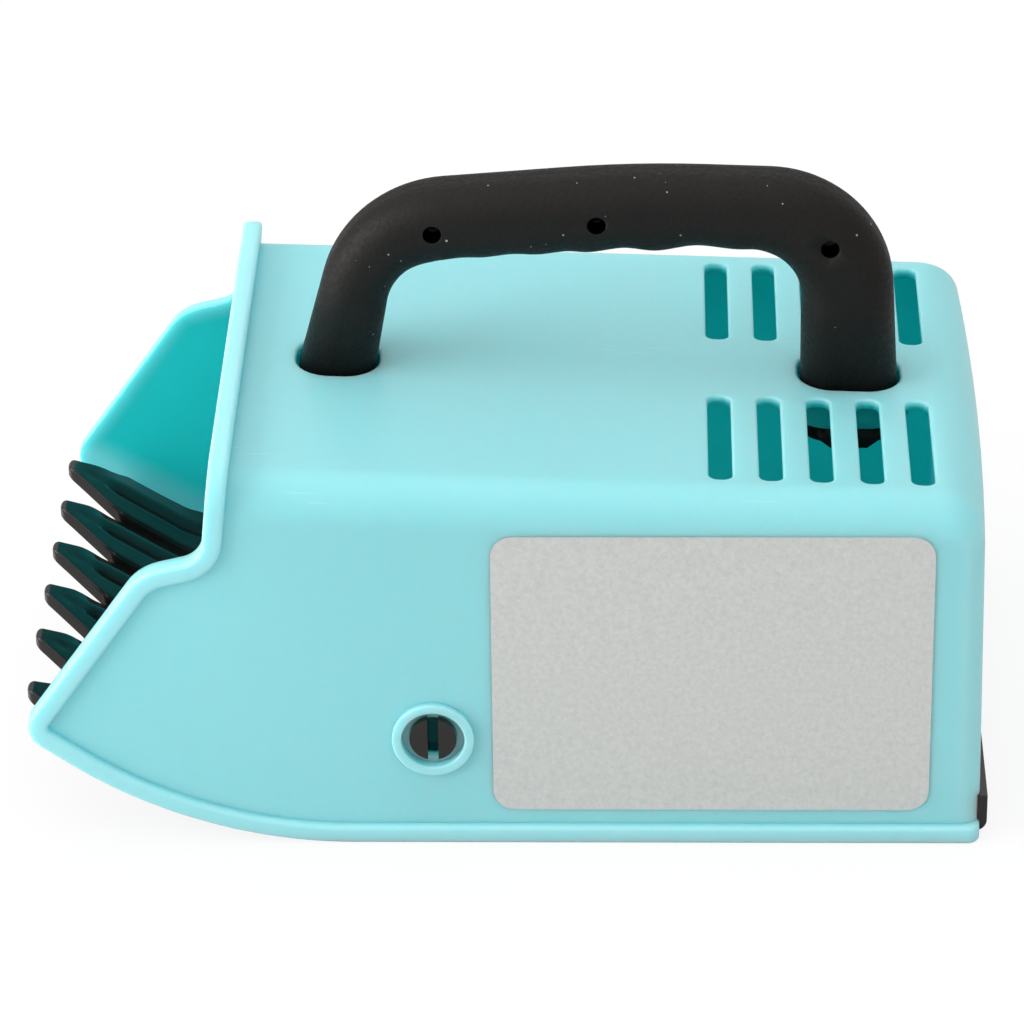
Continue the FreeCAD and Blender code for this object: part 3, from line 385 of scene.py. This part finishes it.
def shell_material():
    """Turquoise moulded plastic, satin and a little translucent, with painted shade in a deeper
    teal on its inner faces and slots and a painted highlight in a paler colour on what stands
    proud.
    """
    material, tree, output = new_material("turquoise_plastic")
    shader = principled(
        tree, output, Subsurface_Weight=1.0, Subsurface_Radius=SCATTER_SHARES,
        Subsurface_Scale=SCATTER_DEPTH, Specular_IOR_Level=0.4,
    )
    clouds = object_noise(tree, SKIN_CLOUDS)
    skin = ramp(tree, clouds.outputs["Fac"], *SKIN_COLOURS)
    inner_shade, proud_highlight = shell_masks(tree)
    # Painted highlight: a paler colour on what stands proud of the skin
    colour = mixed(tree, proud_highlight, skin.outputs["Color"], PROUD_HIGHLIGHT_COLOUR)
    colour = mixed(tree, scuff_mask(tree), colour, SCUFF_COLOUR)
    # Painted shade: the deeper inner colour over the inner faces and slots
    colour = mixed(tree, inner_shade, colour, INNER_SHADE_COLOUR)
    tree.links.new(colour, shader.inputs["Base Color"])
    grain = object_noise(tree, SKIN_GRAIN, detail=3.0)
    link_roughness(tree, grain, shader, SKIN_ROUGHNESS)
    bump(tree, grain.outputs["Fac"], shader, 0.25, SKIN_GRAIN_DEPTH)
    return material


def comb_material():
    """Black moulded plastic with a gloss."""
    material, tree, output = new_material("black_gloss_plastic")
    shader = principled(tree, output, Specular_IOR_Level=0.45)
    clouds = object_noise(tree, COMB_CLOUDS)
    colour = ramp(tree, clouds.outputs["Fac"], *COMB_COLOURS)
    tree.links.new(colour.outputs["Color"], shader.inputs["Base Color"])
    link_roughness(tree, object_noise(tree, COMB_GRAIN), shader, COMB_ROUGHNESS)
    bump(tree, clouds.outputs["Fac"], shader, 0.1, COMB_CLOUD_DEPTH)
    return material


def grip_material():
    """Soft-touch black with a fine grain and specks of dust, and painted shade, near black without
    gloss, on the near half's screw holes.
    """
    material, tree, output = new_material("black_soft_touch")
    shader = principled(tree, output)
    clouds = object_noise(tree, GRIP_CLOUDS)
    skin = ramp(tree, clouds.outputs["Fac"], *GRIP_COLOURS)
    hole_shade = screw_hole_shade_mask(tree)
    colour = mixed(tree, dust_mask(tree), skin.outputs["Color"], DUST_COLOUR)
    # Painted shade on the screw holes' walls: near black, and no gloss there below
    colour = mixed(tree, hole_shade, colour, SCREW_HOLE_SHADE)
    tree.links.new(colour, shader.inputs["Base Color"])
    gloss = math_node(tree, "MULTIPLY_ADD", hole_shade, -GRIP_GLOSS, GRIP_GLOSS)
    tree.links.new(gloss, shader.inputs["Specular IOR Level"])
    grain = object_noise(tree, GRIP_GRAIN)
    link_roughness(tree, grain, shader, GRIP_ROUGHNESS)
    bump(tree, grain.outputs["Fac"], shader, 0.8, GRIP_GRAIN_DEPTH)
    return material


def node_centre(node):
    """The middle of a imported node's box: X and Z in millimetres."""
    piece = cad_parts[node]
    corners = [piece.matrix_world @ Vector(corner) for corner in piece.bound_box]
    return [sum(corner[axis] for corner in corners) / len(corners) / MM for axis in (0, 2)]


def screw_hole_shade_mask(tree):
    """Where the painted shade goes: 1 on the walls of the near half's screw holes, 0 elsewhere."""
    x, y, z = object_place(tree)
    front, middle, rear = (axis_reach(tree, x, z, node_centre(screw)) for screw in SCREWS)
    nearest = math_node(tree, "MINIMUM", math_node(tree, "MINIMUM", front, middle), rear)
    inside = math_node(tree, "LESS_THAN", nearest, SCREW_HOLE_RADIUS * MM)
    return math_node(tree, "MULTIPLY", inside, math_node(tree, "LESS_THAN", y, 0.0))


def dust_mask(tree):
    """1 in small specks strewn at random, 0 elsewhere."""
    coordinates = tree.nodes.new("ShaderNodeTexCoord")
    cells = tree.nodes.new("ShaderNodeTexVoronoi")
    cells.inputs["Scale"].default_value = DUST_CELLS
    tree.links.new(coordinates.outputs["Object"], cells.inputs["Vector"])
    split = tree.nodes.new("ShaderNodeSeparateXYZ")
    tree.links.new(cells.outputs["Color"], split.inputs["Vector"])
    excess = math_node(tree, "SUBTRACT", split.outputs["X"], DUST_LEAST)
    size = math_node(tree, "MULTIPLY", excess, DUST_SIZE)
    return math_node(tree, "LESS_THAN", cells.outputs["Distance"], size)


def label_material():
    """Silver-grey film with a fine speckle."""
    material, tree, output = new_material("silver_label_film")
    shader = principled(tree, output, Roughness=0.5, Metallic=0.25)
    speckle = object_noise(tree, LABEL_SPECKLE, detail=6.0, roughness=0.8)
    colour = ramp(tree, speckle.outputs["Fac"], *LABEL_COLOURS)
    tree.links.new(colour.outputs["Color"], shader.inputs["Base Color"])
    return material


def screw_material():
    """Blackened steel."""
    material, tree, output = new_material("blackened_steel")
    shader = principled(tree, output, Roughness=0.4, Metallic=1.0)
    grain = object_noise(tree, STEEL_GRAIN)
    colour = ramp(tree, grain.outputs["Fac"], grey(STEEL_GREYS[0]), grey(STEEL_GREYS[1]))
    tree.links.new(colour.outputs["Color"], shader.inputs["Base Color"])
    return material


def smooth_share(value):
    """0 below 0, 1 above 1 and a soft rise between."""
    share = min(max(value, 0.0), 1.0)
    return share * share * (3 - 2 * share)


def round_drop(distance, radius):
    """How far a surface has dropped at a distance from an edge rounded with a radius."""
    short = max(radius - max(distance, 0.0), 0.0)
    return radius - math.sqrt(radius * radius - short * short)


def comb_underside(x):
    """Height of the comb's underside: the comb's slope runs into the floor's lesser slope."""
    comb = COMB_CORNER[1] + (COMB_CORNER[0] - x) * COMB_SLOPE
    floor = COMB_CORNER[1] + (COMB_CORNER[0] - x) * FLOOR_SLOPE
    share = min(max(0.5 + 0.5 * (comb - floor) / COMB_CORNER_BLEND, 0.0), 1.0)
    return floor + (comb - floor) * share + COMB_CORNER_BLEND * share * (1 - share)


def plate_thickness(x):
    """Upright thickness of the sloping plate."""
    share = smooth_share((x - COMB_CORNER[0]) / COMB_BEND_LENGTH + 0.5)
    slope = COMB_SLOPE + (FLOOR_SLOPE - COMB_SLOPE) * share
    return PLATE_THICKNESS * math.hypot(1, slope)


def tine_half_width(along):
    """Half width of a tine at a distance from its tip, and of its strip of the plate behind."""
    share = min(along / TINE_LENGTH, 1.0)
    half = TIP_HALF_WIDTH + (TINE_PITCH / 2 - TIP_HALF_WIDTH) * share
    return half - round_drop(along, TIP_ROUND)


def form_depth(form, place):
    """The depth of a cross-section given as places and depths."""
    for (start, low), (end, high) in zip(form, form[1:]):
        if place <= end:
            return low + (high - low) * (place - start) / (end - start)
    return form[-1][1]


def comb_drop(along, share, half, tine):
    """How far the top of the comb lies under the plain plate: ridges that go on from the tines
    with steep near flanks, a groove and a dent on each."""
    drop = round_drop(along, TIP_ROUND)
    start = RIDGE_START if share > 0 else FLANK_START
    grow = smooth_share((along - start) / (TINE_LENGTH - start))
    fade = 1 - smooth_share((along - TINE_LENGTH) / (RIDGE_END - TINE_LENGTH)) ** 2
    outermost = tine == TINE_COUNT - 1 and share > 0
    drop += form_depth(RIDGE_FORM, share) * grow * fade * (OUTERMOST_RIDGE if outermost else 1)
    drop += round_drop(half * (1 - abs(share)), CREST_ROUND) * (1 - grow)
    ends = min(along - GROOVE_START, GROOVE_END - along) / GROOVE_FADE
    if ends > 0:
        drop += form_depth(GROOVE_FORM, share) * smooth_share(ends)
    reach = math.hypot(along - DENT["place"], share * half - DENT["offset"]) / DENT["radius"]
    if reach < 1:
        drop += DENT["depth"] * (1 - reach * reach) ** 2
    return drop


def tine_shares():
    """Places across a tine: the corners of its forms, and steps between them."""
    corners = sorted({place for place, depth in RIDGE_FORM + GROOVE_FORM})
    shares = [corners[0]]
    for start, end in zip(corners, corners[1:]):
        count = math.ceil((end - start) / FORM_STEP)
        shares += [start + (end - start) * (i + 1) / count for i in range(count)]
    return shares


def comb_stations():
    """Distances from the tips: close together where the tips round off."""
    stations = [TIP_ROUND * (1 - math.cos(math.pi / 2 * i / TIP_STEPS))
                for i in range(TIP_STEPS + 1)]
    for end, steps in ((TINE_LENGTH, TINE_STEPS), (COMB_REAR - COMB_TIP, PLATE_STEPS)):
        start = stations[-1]
        stations += [start + (end - start) * (i + 1) / steps for i in range(steps)]
    return stations


def add_comb(mesh):
    """The six tines and the strip of plate behind them, as one closed skin."""
    shares = tine_shares()
    stations = comb_stations()
    for tine, low_tip in zip(range(TINE_COUNT), NEAR_DROOPS + (0.0,) * TINE_COUNT):
        middle = (tine + 0.5 - TINE_COUNT / 2) * TINE_PITCH
        tops, lows = [], []
        for along in stations:
            x = COMB_TIP + along
            half = tine_half_width(along)
            droop = low_tip * (1 - smooth_share(along / DROOP_LENGTH))
            low = comb_underside(x) - droop
            high = low + plate_thickness(x)
            low += TINE_TAPER * (1 - smooth_share(along / TINE_LENGTH))
            tops.append([
                mesh.verts.new((x * MM, (middle + share * half) * MM,
                                (high - comb_drop(along, share, half, tine)) * MM))
                for share in shares])
            lows.append([mesh.verts.new((x * MM, (middle + side * half) * MM, low * MM))
                         for side in (-1, 1)])
        outer = (tine == 0, tine == TINE_COUNT - 1)
        for i in range(len(stations) - 1):
            for k in range(len(shares) - 1):
                mesh.faces.new((tops[i][k], tops[i + 1][k], tops[i + 1][k + 1], tops[i][k + 1]))
            mesh.faces.new((lows[i][0], lows[i][1], lows[i + 1][1], lows[i + 1][0]))
            for side, end in ((0, 0), (1, -1)):
                if stations[i] < TINE_LENGTH - FLUSH or outer[side]:
                    mesh.faces.new((tops[i][end], lows[i][side], lows[i + 1][side],
                                    tops[i + 1][end]))
        mesh.faces.new((*tops[0], lows[0][1], lows[0][0]))
        mesh.faces.new((*tops[-1], lows[-1][1], lows[-1][0]))


def round_pin_heads(mesh):
    """Rounds the rims of the pins' outer ends."""
    reach = max(vertex.co.y for vertex in mesh.verts)
    ends = [face for face in mesh.faces
            if all(abs(abs(vertex.co.y) - reach) < FLUSH for vertex in face.verts)]
    flat = bmesh.ops.dissolve_faces(mesh, faces=ends)["region"]
    rims = {edge for face in flat for edge in face.edges}
    bmesh.ops.bevel(mesh, geom=list(rims), offset=PIN_END_ROUND * MM, segments=4,
                    affect="EDGES", profile=0.5, clamp_overlap=False)


def make_comb():
    """The swinging floor with its tines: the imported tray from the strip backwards, and the tines
    and their strip with rounded crests, valleys and channels."""
    mesh = bmesh.new()
    mesh.from_mesh(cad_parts["comb_tray"].data)
    everything = list(mesh.verts) + list(mesh.edges) + list(mesh.faces)
    sliced = bmesh.ops.bisect_plane(
        mesh, geom=everything, plane_co=(COMB_REAR * MM, 0, 0), plane_no=(-1, 0, 0),
        clear_outer=True)
    bmesh.ops.holes_fill(
        mesh, edges=[item for item in sliced["geom_cut"] if isinstance(item, bmesh.types.BMEdge)])
    round_pin_heads(mesh)
    strip = bmesh.new()
    add_comb(strip)
    bmesh.ops.remove_doubles(strip, verts=strip.verts, dist=TOUCH)
    bmesh.ops.recalc_face_normals(strip, faces=strip.faces)
    data = bpy.data.meshes.new("comb_strip")
    strip.to_mesh(data)
    strip.free()
    mesh.from_mesh(data)
    finish_piece("comb_with_tines", mesh, "comb_tray", "tray", comb_material())


def wave_depth(x):
    """How far the grip's underside hangs under its plain line, at a place along it."""
    for (start, low), (end, high) in zip(FINGER_WAVES, FINGER_WAVES[1:]):
        if start < x <= end:
            return low + (high - low) * smooth_share((x - start) / (end - start))
    return 0.0


def make_handle_half(name, node, material):
    """A half of the bow handle: shallow finger waves under the grip, and a rounded edge at the
    parting line."""
    mesh = bmesh.new()
    mesh.from_mesh(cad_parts[node].data)
    bmesh.ops.remove_doubles(mesh, verts=mesh.verts, dist=TOUCH)
    x = FINGER_WAVES[0][0]
    while x <= FINGER_WAVES[-1][0]:
        everything = list(mesh.verts) + list(mesh.edges) + list(mesh.faces)
        bmesh.ops.bisect_plane(mesh, geom=everything, plane_co=(x * MM, 0, 0),
                               plane_no=(1, 0, 0))
        x += WAVE_SLICE
    mesh.normal_update()
    for vertex in mesh.verts:
        if vertex.co.z > GRIP_LOWEST * MM:
            under = min(max(-vertex.normal.z * WAVE_GAIN, 0.0), 1.0)
            vertex.co.z -= wave_depth(vertex.co.x / MM) * under * MM
    parting = [
        edge for edge in mesh.edges
        if all(abs(vertex.co.y - PARTING_Y * MM) < FLUSH for vertex in edge.verts)
        and len(edge.link_faces) == 2
        and sorted(abs(face.normal.y) > FACING for face in edge.link_faces) == [False, True]
    ]
    bmesh.ops.bevel(mesh, geom=parting, offset=PARTING_GROOVE * MM, segments=2, affect="EDGES",
                    profile=0.5, clamp_overlap=True)
    finish_piece(name, mesh, node, "rake_body", material)


def finish_piece(name, mesh, node, body, material):
    """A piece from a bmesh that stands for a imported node."""
    for face in mesh.faces:
        face.smooth = True
    data = bpy.data.meshes.new(name)
    mesh.to_mesh(data)
    mesh.free()
    data.set_sharp_from_angle(angle=SHARP_ANGLE)
    piece = bpy.data.objects.new(name, data)
    bpy.context.scene.collection.objects.link(piece)
    data.materials.clear()
    data.materials.append(material)
    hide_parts(node)
    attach(piece, body)


def dress(node, material):
    """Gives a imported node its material."""
    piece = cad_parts[node]
    if not piece.material_slots:
        piece.data.materials.append(material)
    for slot in piece.material_slots:
        slot.material = material


def make_floor():
    """A wide pale floor, which looks close to white to the camera and keeps a soft shadow."""
    far, near = FLOOR_HALF_WIDTH, -FLOOR_HALF_WIDTH
    mesh = bpy.data.meshes.new("floor")
    mesh.from_pydata(
        [(near, near, 0), (far, near, 0), (far, far, 0), (near, far, 0)], [], [(0, 1, 2, 3)])
    floor = bpy.data.objects.new("floor", mesh)
    bpy.context.scene.collection.objects.link(floor)
    material, tree, output = new_material("pale_floor")
    diffuse = tree.nodes.new("ShaderNodeBsdfDiffuse")
    diffuse.inputs["Color"].default_value = grey(FLOOR_GREY)
    glow = tree.nodes.new("ShaderNodeEmission")
    glow.inputs["Color"].default_value = grey(1.0)
    glow.inputs["Strength"].default_value = FLOOR_GLOW
    path = tree.nodes.new("ShaderNodeLightPath")
    share = math_node(tree, "MULTIPLY", path.outputs["Is Camera Ray"], FLOOR_GLOW_SHARE)
    mix = tree.nodes.new("ShaderNodeMixShader")
    tree.links.new(share, mix.inputs["Fac"])
    tree.links.new(diffuse.outputs["BSDF"], mix.inputs[1])
    tree.links.new(glow.outputs["Emission"], mix.inputs[2])
    tree.links.new(mix.outputs["Shader"], output.inputs["Surface"])
    mesh.materials.append(material)


def make_softbox():
    """A square soft lamp to the left of the camera."""
    data = bpy.data.lights.new("left_softbox", "AREA")
    data.shape = "SQUARE"
    data.size = SOFTBOX_SIZE
    data.energy = SOFTBOX_POWER
    light = bpy.data.objects.new("left_softbox", data)
    light.location = SOFTBOX_PLACE
    light.rotation_euler = (SOFTBOX_AIM - SOFTBOX_PLACE).to_track_quat("-Z", "Y").to_euler()
    bpy.context.scene.collection.objects.link(light)


def make_world():
    """A white studio all round, whose brightness runs smoothly from side to side."""
    world = bpy.data.worlds.new("studio")
    world.use_nodes = True
    tree = world.node_tree
    background = tree.nodes["Background"]
    background.inputs["Color"].default_value = grey(1.0)
    direction = tree.nodes.new("ShaderNodeTexCoord")
    split = tree.nodes.new("ShaderNodeSeparateXYZ")
    tree.links.new(direction.outputs["Generated"], split.inputs["Vector"])
    total = 0.0
    for axis, low, high in (("X", "left", "right"), ("Y", "front", "back"), ("Z", "up", "up")):
        value = split.outputs[axis]
        weight = math_node(tree, "MULTIPLY", value, value)
        side = math_node(tree, "GREATER_THAN", value, 0.0)
        bright = math_node(tree, "MULTIPLY_ADD", side, STUDIO[high] - STUDIO[low], STUDIO[low])
        total = math_node(tree, "MULTIPLY_ADD", weight, bright, total)
    tree.links.new(total, background.inputs["Strength"])
    bpy.context.scene.world = world


make_camera()
bpy.context.scene.view_settings.view_transform = "Standard"
grip = grip_material()
steel = screw_material()
dress("body_shell", shell_material())
make_comb()
make_handle_half("grip_near", "handle_half_near", grip)
make_handle_half("grip_far", "handle_half_far", grip)
for screw in SCREWS:
    dress(screw, steel)
dress("label_sticker", label_material())
make_floor()
make_softbox()
make_world()
